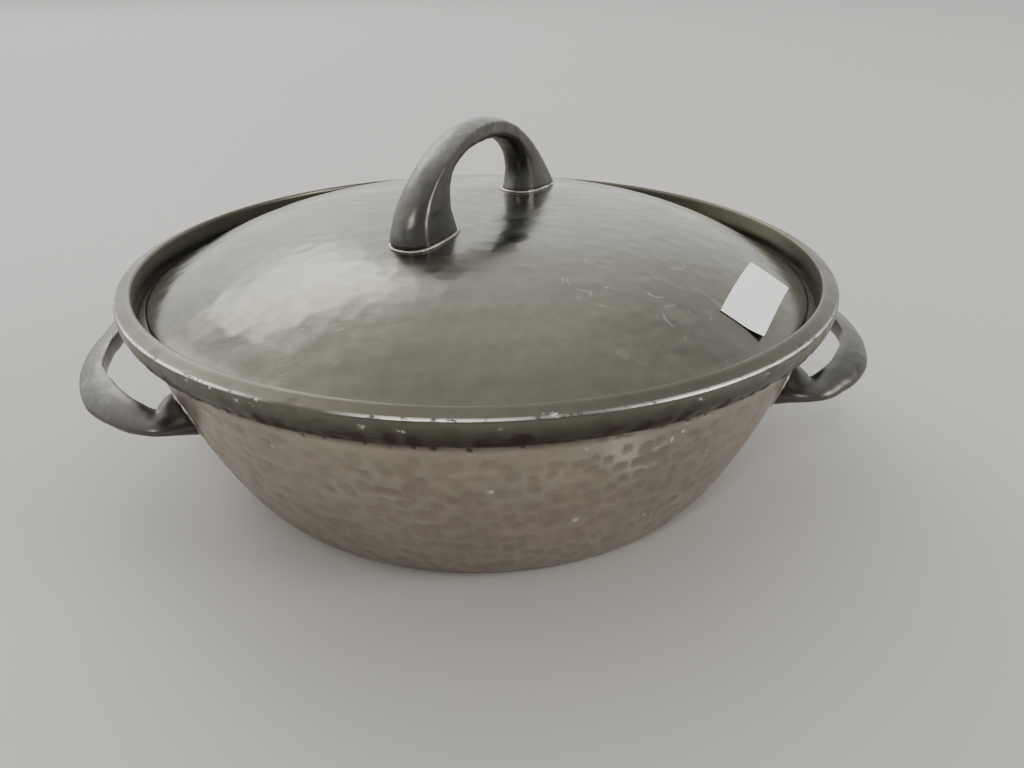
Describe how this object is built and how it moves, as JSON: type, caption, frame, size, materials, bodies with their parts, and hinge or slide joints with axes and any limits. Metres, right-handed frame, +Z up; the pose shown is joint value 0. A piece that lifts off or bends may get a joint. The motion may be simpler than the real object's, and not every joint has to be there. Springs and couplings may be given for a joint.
{
  "type": "lidded serving dish",
  "caption": "Round hammered pewter serving dish with an applied rim, side loop handles and a lift-off domed lid with a strap handle.",
  "frame": {"origin": "centre of the bowl's flat base, on the table", "axes": "+Z up, X through the two side handles, +Y to the back"},
  "size_m": [0.2914, 0.26, 0.1273],
  "materials": {
    "hammered_pewter": "hammered all over, dark grey, satin",
    "rim_pewter": "smooth, worn bright along its edge",
    "inner_pewter": "turned, dull grey",
    "cast_pewter": "cast and filed smooth, satin, slightly blue grey",
    "planished_pewter": "planished, soft gloss, fine scratches",
    "solder": "dull bright solder",
    "label_paper": "matt white paper, blank"
  },
  "bodies": {
    "bowl": {"bowl_shell": "hammered_pewter", "rim_band": "rim_pewter", "lid_seat_ring": "inner_pewter", "side_handle_left": "cast_pewter", "side_handle_right": "cast_pewter", "solder_left_front": "solder", "solder_left_back": "solder", "solder_right_front": "solder", "solder_right_back": "solder"},
    "lid_ring": {"lid_locating_ring": "inner_pewter"},
    "lid": {"lid_shell": "planished_pewter", "lid_handle": "cast_pewter", "lid_solder_front": "solder", "lid_solder_back": "solder", "paper_label": "label_paper"}
  },
  "joints": [
    {"name": "lid_lift", "type": "slide", "parent": "bowl", "child": "lid_ring", "axis": [0, 0, 1], "range_m": [0, 0.15]},
    {"name": "lid_spin", "type": "hinge", "parent": "lid_ring", "child": "lid", "pos_m": [0, 0, 0.08], "axis": [0, 0, 1], "continuous": true}
  ]
}
